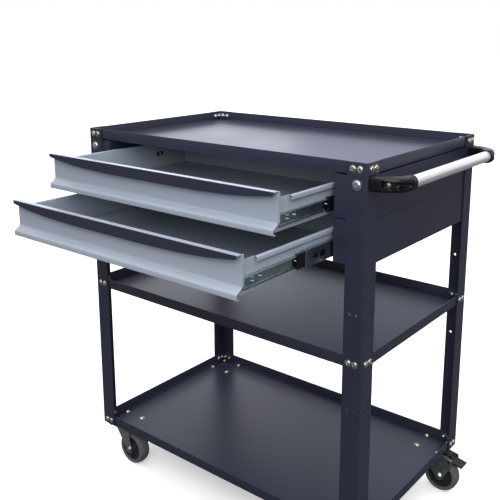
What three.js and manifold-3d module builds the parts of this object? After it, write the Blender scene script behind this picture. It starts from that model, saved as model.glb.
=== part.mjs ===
// A three-tier workshop trolley: four angle posts, three shallow trays, two drawers on telescopic
// slides under the top tray, a push handle on the right end and four swivel casters.
// Millimetres, +Z up, drawers open towards -Y, handle on the +X end, floor at z = 0.
import * as THREE from "three";
import { mergeVertices } from "three/addons/utils/BufferGeometryUtils.js";
import Module from "manifold-3d";

const wasm = await Module();
wasm.setup();

// ---------------------------------------------------------------- driving dimensions

const GAP = 0.3; // clearance between pieces that touch
const trolley = { length: 730, depth: 451, casterHeight: 102 };
const post = { leg: 40, thickness: 2, bend: 3, height: 736 };
const tray = { height: 23, thickness: 1.2, inset: 2.5, pitch: 356.5 };
const spareHole = { radius: 2.8, fromCorner: [14.5, 28.5], below: [275, 461] };

const housing = { thickness: 1.2, bottom: 185, seam: 103, seamGap: 1.5, halfOpening: 298, webDepth: 372 };
const housingBolt = { fromCorner: 19.6, below: 39, shankRadius: 4, holeRadius: 4.5 };
const boltHead = { radius: 9.4, rim: 1.2, height: 4.8 };
const boltNut = { radius: 7.2, height: 6.5, shankBeyond: 2.5 };

const slide = { length: 300, startsBehindFront: 12.5, belowLip: 49.6, sheet: 1.2 };
const outerMember = { halfHeight: 17.5, webAt: 0.3, depth: 8.9 };
const middleMember = { halfHeight: 15.25, webAt: 2.8, depth: 7.9 };
const innerMember = { halfHeight: 10.4, depth: 6, forward: 6 };
const cage = { length: 60, forward: 20, halfHeight: 13.4, webAt: 4.4, depth: 6, wall: 1.5 };
const webHoles = [
  { behindFront: 33, radius: 3, stretch: 0 },
  { behindFront: 54, radius: 3, stretch: 6 },
];

const drawer = { halfWidth: 285.3, depth: 380, sheet: 1, wallTop: 13.2, wallBottom: 70.4 };
const bead = { out: 5.7, drop: 9.6, startsBehindFront: 39 };
const front = { halfWidth: 292.4, sheet: 1.5, lip: 10.7 };
const flare = { top: 57, out: 13, bend: 65.5, hem: 72.4, hemBack: 6.5 };
const pull = { thickness: 1.1, ledge: 9, endDepth: 6, middleDepth: 20, power: 3.5 };
const pullEdge = { points: 24, crowding: 0.7 };

const DRAWER_PITCH = 81.7;
const FIRST_LIP = 30.6; // top of the upper drawer front below the top rim
const drawers = [
  { name: "upper", lipBelow: FIRST_LIP, open: 151.8, runnerOpen: 0 },
  { name: "lower", lipBelow: FIRST_LIP + DRAWER_PITCH, open: 242.4, runnerOpen: 90.6 },
];

const tube = { radius: 11, wall: 1.5, out: 50, below: 35.7, halfLength: 166 };
const bracket = { baseY: 206.5, turnY: 168, collarY: 156, turnShare: 0.85, socket: 14 };
const bracketSkin = { rings: 12, around: 20 };
const bracketBase = { half: [14.5, 13.8], squareness: 5 };
const bracketCollar = { half: [13, 13], squareness: 2 };
const pocket = { length: 24, height: 13, depth: 9, outward: 20, forward: 13, turn: 26 };

const caster = { fromSide: 41.3, fromFront: 38 };
const casterPlate = { side: 70, thickness: 3, holeSpacing: 53, holeRadius: 4.2 };
const kingpin = { radius: 6, headRadius: 9, headHeight: 3.5 };
const fork = { crownRadius: 25, crownTop: 97.8, crownHeight: 8, crownSheet: 3, trail: 28 };
const forkLeg = { thickness: 2.4, inside: 17, footRadius: 10, inset: 6 };
const wheel = { radius: 40, halfWidth: 14, rimRadius: 31, sink: 4 };
const hub = { radius: 11, halfWidth: 15.5, bore: 4.3 };
const axle = { radius: 4, halfLength: 22, headRadius: 6.5, headHeight: 4 };
const pedal = { ahead: 22, above: 44, halfWidth: 15, reach: 30, thickness: 3, drop: 6 };
const pedalPivot = { barrel: 4.5, stub: 2.8 };
const ear = { reach: 8, below: 8, above: 6 };

const TOP = trolley.casterHeight + post.height;
const HALF_LENGTH = trolley.length / 2;
const HALF_DEPTH = trolley.depth / 2;

// ---------------------------------------------------------------- materials

function material(name, color, roughness, metalness) {
  return new THREE.MeshStandardMaterial({ name, color, roughness, metalness });
}

const paint = material("frame_paint", 0x373a4a, 0.45, 0.1);
const lightPaint = material("drawer_paint", 0x8a8f9e, 0.45, 0.1);
const zinc = material("zinc_steel", 0xb9bfba, 0.35, 0.9);
const alloy = material("satin_aluminium", 0xdcdcda, 0.3, 0.9);
const blackPlastic = material("black_plastic", 0x1c1c20, 0.5, 0);
const rubber = material("grey_rubber", 0x55575a, 0.8, 0);

// ---------------------------------------------------------------- solids

// A manifold-3d solid from a closed three.js geometry.
function solidOf(geometry) {
  const bare = geometry.index ? geometry.toNonIndexed() : geometry.clone();
  bare.deleteAttribute("normal");
  bare.deleteAttribute("uv");
  const merged = mergeVertices(bare, 1e-4);
  const vertProperties = merged.attributes.position.array;
  const triVerts = new Uint32Array(merged.index.array);
  return new wasm.Manifold(new wasm.Mesh({ numProp: 3, vertProperties, triVerts }));
}

function unite(...solids) {
  return solids.reduce((whole, next) => whole.add(next));
}

function cut(solid, ...tools) {
  return tools.reduce((left, tool) => left.subtract(tool), solid);
}

// A box between two values on each axis.
function block([x0, x1], [y0, y1], [z0, z1]) {
  const geometry = new THREE.BoxGeometry(x1 - x0, y1 - y0, z1 - z0);
  return solidOf(geometry.translate((x0 + x1) / 2, (y0 + y1) / 2, (z0 + z1) / 2));
}

// Directions that carry a flat outline and its depth onto the axes, one set for each axis of extrusion.
const X = new THREE.Vector3(1, 0, 0);
const Y = new THREE.Vector3(0, 1, 0);
const Z = new THREE.Vector3(0, 0, 1);
const planes = { x: [Y, Z, X], y: [X, Z, Y.clone().negate()], z: [X, Y, Z] };

// An outline of [a, b] points pushed from one value to another along an axis. The outline lies in
// YZ for axis x, in XZ for axis y and in XY for axis z.
function prism(outline, axis, from, to) {
  const shape = new THREE.Shape(outline.map(([a, b]) => new THREE.Vector2(a, b)));
  const geometry = new THREE.ExtrudeGeometry(shape, { depth: to - from, bevelEnabled: false });
  geometry.applyMatrix4(new THREE.Matrix4().makeBasis(...planes[axis]));
  const start = new THREE.Vector3()[`set${axis.toUpperCase()}`](axis === "y" ? to : from);
  return solidOf(geometry.translate(start.x, start.y, start.z));
}

// A round bar from one value to another along an axis, centred on the other two coordinates.
function bar(radius, axis, from, to, [a, b], sides = 16) {
  const circle = Array.from({ length: sides }, (_, i) => {
    const angle = (2 * Math.PI * (i + 0.5)) / sides;
    return [a + radius * Math.cos(angle), b + radius * Math.sin(angle)];
  });
  return prism(circle, axis, from, to);
}

// The section of a bent sheet: a strip of the given thickness on the right-hand side of a bent line.
function sheetSection(line, thickness) {
  const points = line.map(([a, b]) => new THREE.Vector2(a, b));
  const edges = points.slice(1).map((p, i) => p.clone().sub(points[i]).normalize());
  const sides = edges.map((e) => new THREE.Vector2(e.y, -e.x));
  const inner = points.map((p, i) => {
    const before = sides[Math.max(i - 1, 0)];
    const after = sides[Math.min(i, sides.length - 1)];
    const mitre = before.clone().add(after);
    return p.clone().addScaledVector(mitre, (2 * thickness) / mitre.lengthSq());
  });
  return [...points, ...inner.reverse()].map((p) => [p.x, p.y]);
}

// Points of an arc in degrees, ends included.
function arc([a, b], radius, fromDegrees, toDegrees, steps) {
  return Array.from({ length: steps + 1 }, (_, i) => {
    const angle = THREE.MathUtils.degToRad(fromDegrees + ((toDegrees - fromDegrees) * i) / steps);
    return [a + radius * Math.cos(angle), b + radius * Math.sin(angle)];
  });
}

// ---------------------------------------------------------------- scene graph

const trolleyGroup = new THREE.Group();
trolleyGroup.name = "workshop_trolley";

// Adds a solid as a named mesh. A copy mirrored left to right or front to back is the same solid
// with a negative scale, and a moved one has a position.
function addMesh(name, solid, finish, { mirror = [1, 1], at = [0, 0, 0] } = {}) {
  const { vertProperties, triVerts, numProp } = solid.getMesh();
  const positions = new Float32Array((vertProperties.length / numProp) * 3);
  for (let i = 0; i < positions.length / 3; i += 1)
    positions.set(vertProperties.subarray(i * numProp, i * numProp + 3), i * 3);
  const geometry = new THREE.BufferGeometry();
  geometry.setAttribute("position", new THREE.BufferAttribute(positions, 3));
  geometry.setIndex(new THREE.BufferAttribute(triVerts, 1));
  geometry.computeVertexNormals();
  const mesh = new THREE.Mesh(geometry, finish);
  mesh.name = name;
  mesh.scale.set(mirror[0], mirror[1], 1);
  mesh.position.set(...at);
  trolleyGroup.add(mesh);
}

const ends = [["left", -1], ["right", 1]];
const sides = [["front", 1], ["rear", -1]];
const corners = sides.flatMap(([side, my]) => ends.map(([end, mx]) => [`${side}_${end}`, [mx, my]]));

// ---------------------------------------------------------------- frame

// One post at the front right corner: an equal angle with a rounded outer bend, two rows of spare
// holes in each leg and a hole for the bolt that holds the drawer housing.
function makePost() {
  const { leg, thickness, bend, height } = post;
  const bendCentre = [HALF_LENGTH - bend, -HALF_DEPTH + bend];
  const outerBend = arc(bendCentre, bend, -90, 0, 4);
  const innerBend = arc(bendCentre, bend - thickness, 0, -90, 2);
  const outline = [
    [HALF_LENGTH - leg, -HALF_DEPTH],
    ...outerBend,
    [HALF_LENGTH, -HALF_DEPTH + leg],
    [HALF_LENGTH - thickness, -HALF_DEPTH + leg],
    ...innerBend,
    [HALF_LENGTH - leg, -HALF_DEPTH + thickness],
  ];
  const angle = prism(outline, "z", TOP - height, TOP);
  const acrossFront = [-HALF_DEPTH - 1, -HALF_DEPTH + 2 * thickness];
  const acrossSide = [HALF_LENGTH - 2 * thickness, HALF_LENGTH + 1];
  const holes = spareHole.below.flatMap((below) =>
    spareHole.fromCorner.flatMap((inward) => [
      bar(spareHole.radius, "y", ...acrossFront, [HALF_LENGTH - inward, TOP - below], 10),
      bar(spareHole.radius, "x", ...acrossSide, [-HALF_DEPTH + inward, TOP - below], 10),
    ]),
  );
  return cut(angle, ...holes, boltHole());
}

// The hole through the front leg and the housing flange behind it.
function boltHole() {
  const at = [HALF_LENGTH - housingBolt.fromCorner, TOP - housingBolt.below];
  return bar(housingBolt.holeRadius, "y", -HALF_DEPTH - 1, -HALF_DEPTH + post.leg / 4, at, 12);
}

// A domed bolt with its nut, through a front post leg and the housing flange.
function makeHousingBolt() {
  const { radius, rim, height } = boltHead;
  const crown = arc([0, 0], 1, 20, 70, 3).map(([r, h]) => [r * radius, rim + h * (height - rim)]);
  const outline = [[0, 0], [radius, 0], [radius, rim], ...crown, [0, height]];
  const head = new THREE.LatheGeometry(outline.map(([r, h]) => new THREE.Vector2(r, h)), 16);
  const centre = [HALF_LENGTH - housingBolt.fromCorner, TOP - housingBolt.below];
  const nutAt = -HALF_DEPTH + tray.inset + housing.thickness + GAP;
  const nutEnd = nutAt + boltNut.height;
  return unite(
    solidOf(head.rotateX(Math.PI).translate(centre[0], -HALF_DEPTH - GAP, centre[1])),
    bar(housingBolt.shankRadius, "y", -HALF_DEPTH - 2 * GAP, nutEnd + boltNut.shankBeyond, centre, 12),
    bar(boltNut.radius, "y", nutAt, nutEnd, centre, 6),
  );
}

// A shallow tray: a flat floor at the foot of an upright rim, just inside the posts.
function makeTray() {
  const { height, thickness, inset } = tray;
  const x = HALF_LENGTH - inset;
  const y = HALF_DEPTH - inset;
  const outside = block([-x, x], [-y, y], [-height, 0]);
  const [a, b] = [x - thickness, y - thickness];
  return cut(outside, block([-a, a], [-b, b], [thickness - height, 1]));
}

function addFrame() {
  for (const [corner, mirror] of corners) {
    addMesh(`post_${corner}`, makePost(), paint, { mirror });
    addMesh(`housing_bolt_${corner}`, makeHousingBolt(), zinc, { mirror });
  }
  ["top_tray", "middle_shelf", "bottom_shelf"].forEach((name, level) => {
    addMesh(name, makeTray(), paint, { at: [0, 0, TOP - level * tray.pitch] });
  });
}

// ---------------------------------------------------------------- drawer housing

// One side of the housing, on the right: an outer side panel, a front flange beside the opening and
// an inner web that carries the slide, all one bent sheet.
function makeSidePanel(zTop, zBottom) {
  const x = HALF_LENGTH - tray.inset;
  const y = HALF_DEPTH - tray.inset;
  const line = [
    [housing.halfOpening, -y + housing.webDepth],
    [housing.halfOpening, -y],
    [x, -y],
    [x, y - 1],
  ];
  const outline = sheetSection(line, -housing.thickness);
  return cut(prism(outline, "z", zBottom, zTop), boltHole());
}

function makeRearPanel() {
  const x = HALF_LENGTH - tray.inset - housing.thickness - GAP;
  const y = HALF_DEPTH - tray.inset;
  const zTop = TOP - tray.height - housing.seamGap;
  const panel = block([-x, x], [y - housing.thickness, y], [TOP - housing.bottom, zTop]);
  const holes = ends.map(([, mx]) => {
    const centre = [mx * (HALF_LENGTH - housingBolt.fromCorner), TOP - housingBolt.below];
    return bar(housingBolt.holeRadius, "y", y - post.leg / 4, y + 1, centre, 12);
  });
  return cut(panel, ...holes);
}

function addHousing() {
  const levels = [
    ["upper", TOP - tray.height - housing.seamGap, TOP - housing.seam],
    ["lower", TOP - housing.seam - housing.seamGap, TOP - housing.bottom],
  ];
  for (const [level, zTop, zBottom] of levels)
    for (const [end, mx] of ends)
      addMesh(`side_panel_${level}_${end}`, makeSidePanel(zTop, zBottom), paint, { mirror: [mx, 1] });
  addMesh("housing_rear_panel", makeRearPanel(), paint);
}

// ---------------------------------------------------------------- slides

// A channel that runs along Y on the right side. Its web stands at webX and its two legs reach
// away from the web, towards the drawer (-1) or away from it (1).
function makeChannel({ depth, halfHeight, wall = slide.sheet }, webX, towards, z, [yFrom, yTo]) {
  const line = [
    [webX + towards * depth, z - halfHeight],
    [webX, z - halfHeight],
    [webX, z + halfHeight],
    [webX + towards * depth, z + halfHeight],
  ];
  return prism(sheetSection(line, towards * wall), "y", yFrom, yTo);
}

// Round or stretched holes through the web of the middle member, near its front end.
function makeWebHoles(yFront, z) {
  const reach = [housing.halfOpening - outerMember.depth, housing.halfOpening];
  return webHoles.flatMap(({ behindFront, radius, stretch }) => {
    const y = yFront + behindFront;
    if (!stretch) return [bar(radius, "x", ...reach, [y, z], 12)];
    const centres = [y - stretch / 2, y + stretch / 2];
    const rounds = centres.map((at) => bar(radius, "x", ...reach, [at, z], 12));
    return [...rounds, block(reach, centres, [z - radius, z + radius])];
  });
}

function addSlides({ name, lipBelow, open, runnerOpen }) {
  const z = TOP - lipBelow - slide.belowLip;
  const start = -HALF_DEPTH + slide.startsBehindFront;
  const run = (shift) => [start - shift, start - shift + slide.length];
  const inHousing = (member, span) => makeChannel(member, housing.halfOpening - member.webAt, -1, z, span);
  const cageFront = start - runnerOpen - cage.forward;
  const outer = inHousing(outerMember, run(0));
  const middle = cut(inHousing(middleMember, run(runnerOpen)), ...makeWebHoles(start - runnerOpen, z));
  const inner = makeChannel(innerMember, drawer.halfWidth + GAP, 1, z, run(open + innerMember.forward));
  const ballCage = inHousing(cage, [cageFront, cageFront + cage.length]);
  for (const [end, mx] of ends) {
    const mirror = [mx, 1];
    addMesh(`slide_outer_${name}_${end}`, outer, zinc, { mirror });
    addMesh(`slide_middle_${name}_${end}`, middle, zinc, { mirror });
    addMesh(`slide_inner_${name}_${end}`, inner, zinc, { mirror });
    addMesh(`ball_cage_${name}_${end}`, ballCage, blackPlastic, { mirror });
  }
}

// ---------------------------------------------------------------- drawers

// The open box behind the front: a floor, a rear wall and two side walls whose top edges are rolled
// outwards, except next to the front. Local frame: y = 0 at the front's face, z = 0 at its top.
function makeDrawerBox() {
  const { halfWidth, depth, sheet, wallTop, wallBottom } = drawer;
  const yStart = front.sheet + GAP;
  const floor = block([-halfWidth, halfWidth], [yStart, depth], [-wallBottom, -wallBottom + sheet]);
  const rear = block([-halfWidth, halfWidth], [depth - sheet, depth], [-wallBottom, -wallTop]);
  const walls = ends.map(([, mx]) => {
    const x = [halfWidth - sheet, halfWidth].map((value) => mx * value).sort((a, b) => a - b);
    return block(x, [yStart, depth], [-wallBottom, -wallTop]);
  });
  const roll = [
    [halfWidth - sheet, -wallTop],
    [halfWidth + bead.out, -wallTop],
    [halfWidth + bead.out, -wallTop - bead.drop],
  ];
  const beads = ends.map(([, mx]) => {
    const line = roll.map(([x, z]) => [mx * x, z]);
    return prism(sheetSection(line, mx * sheet), "y", bead.startsBehindFront, depth);
  });
  return unite(floor, rear, ...walls, ...beads);
}

// The front: one bent sheet with a lip forward at the top and a flared, hemmed foot.
function makeDrawerFront() {
  const line = [
    [-front.lip, 0],
    [front.sheet, 0],
    [front.sheet, -flare.top],
    [-flare.out, -flare.bend],
    [-flare.out, -flare.hem],
    [-flare.hemBack, -flare.hem],
  ];
  return prism(sheetSection(line, front.sheet), "x", -front.halfWidth, front.halfWidth);
}

// The finger pull: an angle strip under the front's lip, whose upright leg is deepest in the middle.
function makePull() {
  const { thickness, ledge, endDepth, middleDepth, power } = pull;
  const half = front.halfWidth - 1;
  const edge = Array.from({ length: pullEdge.points + 1 }, (_, i) => {
    const share = (2 * i) / pullEdge.points - 1;
    const x = Math.sign(share) * half * Math.abs(share) ** pullEdge.crowding;
    const rise = (middleDepth - endDepth) * Math.abs(x / half) ** power;
    return [x, -middleDepth + rise];
  });
  const yLeg = -front.lip - GAP;
  const leg = prism([...edge, [half, -GAP], [-half, -GAP]], "y", yLeg - thickness, yLeg);
  const zLedge = -front.sheet - GAP;
  return unite(leg, block([-half, half], [yLeg - thickness / 2, yLeg + ledge], [zLedge - thickness, zLedge]));
}

function addDrawer({ name, lipBelow, open }) {
  const at = [0, -HALF_DEPTH - open, TOP - lipBelow];
  addMesh(`drawer_box_${name}`, makeDrawerBox(), lightPaint, { at });
  addMesh(`drawer_front_${name}`, makeDrawerFront(), lightPaint, { at });
  addMesh(`drawer_pull_${name}`, makePull(), paint, { at });
}

// ---------------------------------------------------------------- push handle

// Centre and heading of the bracket's arm at a share of its length: a quarter ellipse from the post
// outwards, then straight along the tube.
function armAt(share) {
  const heading = Math.min(share / bracket.turnShare, 1) * (Math.PI / 2);
  const straight = Math.max(share - bracket.turnShare, 0) / (1 - bracket.turnShare);
  const x = HALF_LENGTH + GAP + (tube.out - GAP) * Math.sin(heading);
  const y = -bracket.turnY - (bracket.baseY - bracket.turnY) * Math.cos(heading);
  return { x, y: y + (bracket.turnY - bracket.collarY) * straight, heading };
}

// Points of the arm's section at a share of its length, as offsets across and up. It changes from
// a rounded rectangle on the post to a circle at the collar.
function armSection(share) {
  const mix = (a, b) => THREE.MathUtils.lerp(a, b, share);
  const power = 2 / mix(bracketBase.squareness, bracketCollar.squareness);
  const round = (value) => Math.sign(value) * Math.abs(value) ** power;
  const [halfWidth, halfHeight] = bracketBase.half.map((half, i) => mix(half, bracketCollar.half[i]));
  return Array.from({ length: bracketSkin.around }, (_, j) => {
    const angle = (2 * Math.PI * j) / bracketSkin.around;
    return [halfWidth * round(Math.cos(angle)), halfHeight * round(Math.sin(angle))];
  });
}

// The elbow that carries one end of the tube: a socket in the collar, a sunk pocket for the screw.
function makeBracket() {
  const z = TOP - tube.below;
  const { rings, around } = bracketSkin;
  const positions = Array.from({ length: rings + 1 }, (_, i) => {
    const share = i / rings;
    const { x, y, heading } = armAt(share);
    return armSection(share).flatMap(([across, up]) => [
      x + across * Math.sin(heading),
      y - across * Math.cos(heading),
      z + up,
    ]);
  });
  const arm = solidOf(skin(positions.flat(), rings, around));
  const centre = [HALF_LENGTH + tube.out, z];
  const depth = [-bracket.collarY - bracket.socket, -bracket.collarY + 1];
  const socket = bar(tube.radius + GAP, "y", ...depth, centre, 24);
  const halves = [pocket.length / 2, pocket.depth, pocket.height / 2];
  const recess = block(...halves.map((half) => [-half, half]));
  const place = new THREE.Matrix4().makeRotationZ(THREE.MathUtils.degToRad(pocket.turn));
  place.setPosition(HALF_LENGTH + pocket.outward, -bracket.baseY - pocket.forward, z);
  return cut(arm, socket, recess.transform(place.toArray()));
}

// A closed surface through rings of points, with a flat fan at each end.
function skin(positions, rings, around) {
  const index = [];
  for (let i = 0; i < rings; i += 1)
    for (let j = 0; j < around; j += 1) {
      const a = i * around + j;
      const b = i * around + ((j + 1) % around);
      index.push(a, a + around, b, b, a + around, b + around);
    }
  for (let j = 1; j < around - 1; j += 1) {
    const last = rings * around;
    index.push(0, j, j + 1, last, last + j + 1, last + j);
  }
  const geometry = new THREE.BufferGeometry();
  geometry.setAttribute("position", new THREE.Float32BufferAttribute(positions, 3));
  geometry.setIndex(index);
  return geometry;
}

function addHandle() {
  const centre = [HALF_LENGTH + tube.out, TOP - tube.below];
  const outside = bar(tube.radius, "y", -tube.halfLength, tube.halfLength, centre, 24);
  const bore = bar(tube.radius - tube.wall, "y", -tube.halfLength - 1, tube.halfLength + 1, centre, 24);
  addMesh("handle_tube", cut(outside, bore), alloy);
  for (const [side, my] of sides)
    addMesh(`handle_bracket_${side}`, makeBracket(), blackPlastic, { mirror: [1, my] });
}

// ---------------------------------------------------------------- casters

// Each caster is made around its swivel axis, with the wheel trailing towards +X.
function makeCasterPlate() {
  const half = casterPlate.side / 2;
  const top = trolley.casterHeight - GAP;
  const under = top - casterPlate.thickness;
  const plate = block([-half, half], [-half, half], [under, top]);
  const rows = [-casterPlate.holeSpacing / 2, casterPlate.holeSpacing / 2];
  const spots = rows.flatMap((a) => rows.map((b) => [a, b]));
  const holes = spots.map((spot) => bar(casterPlate.holeRadius, "z", under - 1, top + 1, spot, 12));
  const pinFoot = fork.crownTop - fork.crownHeight - 2 * GAP;
  const pin = bar(kingpin.radius, "z", pinFoot - 1, under + 1, [0, 0], 16);
  const head = bar(kingpin.headRadius, "z", pinFoot - kingpin.headHeight, pinFoot, [0, 0], 16);
  return unite(cut(plate, ...holes), pin, head);
}

// The swivel fork: a round crown bored for the kingpin, and two legs down to the axle. A braked
// fork has an ear on each leg for the pedal.
function makeFork(withBrake) {
  const { crownRadius, crownTop, crownHeight, crownSheet, trail } = fork;
  const { thickness, inside, footRadius, inset } = forkLeg;
  const foot = crownTop - crownHeight;
  const outside = inside + thickness;
  const pivot = [trail + pedal.ahead, wheel.radius + pedal.above];
  const earPoints = [-ear.below, ear.above].map((rise) => [pivot[0] + ear.reach, pivot[1] + rise]);
  const legOutline = [
    [-crownRadius + inset, foot],
    ...arc([trail, wheel.radius], footRadius, 200, 340, 5),
    ...(withBrake ? earPoints : []),
    [crownRadius, crownTop - crownSheet],
    [-crownRadius + inset, crownTop - crownSheet],
  ];
  const legs = [[-outside, -inside], [inside, outside]].map(([from, to]) => prism(legOutline, "y", from, to));
  const crown = bar(crownRadius, "z", foot, crownTop, [0, 0], 20);
  const bridge = block([-crownRadius + inset, crownRadius], [-outside, outside], [foot, foot + crownSheet]);
  const kingpinBore = bar(kingpin.radius + GAP, "z", foot - 1, crownTop + 1, [0, 0], 16);
  const axleBore = bar(axle.radius + GAP, "y", -outside - 1, outside + 1, [trail, wheel.radius], 16);
  const pivotBore = bar(pedalPivot.stub + GAP, "y", -outside - 1, outside + 1, pivot, 14);
  return cut(unite(crown, bridge, ...legs), kingpinBore, axleBore, ...(withBrake ? [pivotBore] : []));
}

// A moulded wheel with a crowned tread, sunk faces and a hub, turned about its axle along Y.
function makeWheel() {
  const { radius, halfWidth, rimRadius, sink } = wheel;
  const half = [
    [hub.bore, hub.halfWidth],
    [hub.radius, hub.halfWidth],
    [hub.radius + 1, halfWidth - sink],
    [rimRadius, halfWidth - sink],
    [rimRadius + 1, halfWidth],
    [radius - sink, halfWidth],
    [radius, halfWidth - sink],
  ];
  const other = half.map(([r, h]) => [r, -h]).reverse();
  const outline = [...half, ...other, half[0]].map(([r, h]) => new THREE.Vector2(r, h));
  const turned = new THREE.LatheGeometry(outline.reverse(), 24);
  return solidOf(turned.translate(fork.trail, 0, wheel.radius));
}

function makeAxle() {
  const { radius, halfLength, headRadius, headHeight } = axle;
  const centre = [fork.trail, wheel.radius];
  const outside = forkLeg.inside + forkLeg.thickness + GAP;
  const heads = [[-outside - headHeight, -outside], [outside, outside + headHeight]];
  return unite(
    bar(radius, "y", -halfLength, halfLength, centre, 16),
    ...heads.map(([from, to]) => bar(headRadius, "y", from, to, centre, 6)),
  );
}

// The brake pedal: a cross barrel on two stubs in the fork's ears, with a tread plate to step on.
function makePedal() {
  const { ahead, above, halfWidth, reach, thickness, drop } = pedal;
  const [x, z] = [fork.trail + ahead, wheel.radius + above];
  const stubEnd = forkLeg.inside + forkLeg.thickness + 1;
  const plate = [
    [x, z + thickness / 2],
    [x + reach, z - drop + thickness / 2],
    [x + reach, z - drop - thickness / 2],
    [x, z - thickness / 2],
  ];
  return unite(
    bar(pedalPivot.barrel, "y", -halfWidth, halfWidth, [x, z], 16),
    bar(pedalPivot.stub, "y", -stubEnd, stubEnd, [x, z], 14),
    prism(plate.reverse(), "y", -halfWidth, halfWidth),
  );
}

function addCasters() {
  for (const [corner, [mx, my]] of corners) {
    const at = [mx * (HALF_LENGTH - caster.fromSide), -my * (HALF_DEPTH - caster.fromFront), 0];
    const withBrake = mx > 0;
    addMesh(`caster_plate_${corner}`, makeCasterPlate(), zinc, { at });
    addMesh(`caster_fork_${corner}`, makeFork(withBrake), zinc, { at });
    addMesh(`caster_wheel_${corner}`, makeWheel(), rubber, { at });
    addMesh(`caster_axle_${corner}`, makeAxle(), zinc, { at });
    if (withBrake) addMesh(`brake_pedal_${corner}`, makePedal(), blackPlastic, { at });
  }
}

// ---------------------------------------------------------------- the trolley

addFrame();
addHousing();
drawers.forEach(addSlides);
drawers.forEach(addDrawer);
addHandle();
addCasters();

// The origin is on the floor, under the middle of the whole object's box.
const reachRight = HALF_LENGTH + tube.out + bracketCollar.half[0];
const reachFront = HALF_DEPTH + drawers[1].open + flare.out + front.sheet;
const reachRear = HALF_DEPTH + GAP + boltHead.height;
trolleyGroup.position.set((HALF_LENGTH - reachRight) / 2, (reachFront - reachRear) / 2, 0);

export default trolleyGroup;
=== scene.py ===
import math

import bmesh
import bpy
import numpy as np
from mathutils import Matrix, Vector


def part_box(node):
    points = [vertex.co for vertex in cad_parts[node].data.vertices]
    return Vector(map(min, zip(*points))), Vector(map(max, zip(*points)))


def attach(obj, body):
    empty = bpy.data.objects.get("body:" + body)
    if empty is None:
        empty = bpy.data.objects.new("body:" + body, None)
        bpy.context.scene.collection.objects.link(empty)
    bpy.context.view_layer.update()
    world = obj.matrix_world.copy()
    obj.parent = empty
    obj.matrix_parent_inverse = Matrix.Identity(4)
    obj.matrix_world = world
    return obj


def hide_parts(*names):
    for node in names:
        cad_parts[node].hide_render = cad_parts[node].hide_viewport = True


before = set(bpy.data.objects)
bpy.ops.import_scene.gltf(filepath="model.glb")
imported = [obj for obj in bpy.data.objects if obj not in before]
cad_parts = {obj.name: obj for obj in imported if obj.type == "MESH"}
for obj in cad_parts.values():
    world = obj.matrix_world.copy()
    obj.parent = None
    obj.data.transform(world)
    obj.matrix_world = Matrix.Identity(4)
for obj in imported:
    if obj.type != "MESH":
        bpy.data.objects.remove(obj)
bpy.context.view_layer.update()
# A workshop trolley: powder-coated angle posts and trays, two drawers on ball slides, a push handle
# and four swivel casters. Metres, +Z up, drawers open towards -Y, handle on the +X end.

# ---------------------------------------------------------------- the room and the camera
# A pale seamless floor under a bright ceiling. The horizon at the rear left is a bright band, which
# the trays mirror, and the rest of the room is dim. One large soft panel stands on the front right,
# and a small low one far behind on the left.
FLOOR_SIZE = 60.0
FLOOR_BOUNCE = 0.1  # what the floor gives back to the trolley, so that its undersides stay dark
FLOOR_TONE = 0.9
FLOOR_SHEEN = 0.3  # lifts the floor to the white of paper where the camera sees it
CEILING_GLOW = 2.3
REAR_LEFT = (-0.5, 0.87, 0.0)
REAR_FADE = (0.3, 0.8)  # cosines from the rear left at which that sky begins and is full
COOL = (0.78, 0.82, 1.0)
NEUTRAL = (1.0, 1.0, 1.0)
# The height of a direction's unit vector, the share of the ceiling's glow there, and its tint.
REAR_SKY = (
    (0.0, 0.95, COOL),
    (0.18, 0.95, COOL),
    (0.34, 0.29, COOL),
    (0.6, 0.26, NEUTRAL),
    (0.85, 1.0, NEUTRAL),
)
FRONT_SKY = ((0.0, 0.2, NEUTRAL), (0.5, 0.2, NEUTRAL), (0.8, 1.0, NEUTRAL))
CAMERA_AT = (0.9355, -1.1420, 1.0572)
CAMERA_DOWN = 12.12  # degrees below level
CAMERA_TURN = 38.572  # degrees anticlockwise from looking along +Y
LENS = 52.119  # millimetres, on a sensor 36 mm wide
LENS_SHIFT = (-0.0213, -0.13)


def add_node(tree, kind, inputs=None, **settings):
    """Adds a node, sets its properties and fills its sockets with values or other sockets."""
    node = tree.nodes.new(kind)
    for name, value in settings.items():
        setattr(node, name, value)
    for name, value in (inputs or {}).items():
        if isinstance(value, bpy.types.NodeSocket):
            tree.links.new(value, node.inputs[name])
        else:
            node.inputs[name].default_value = value
    return node


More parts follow.
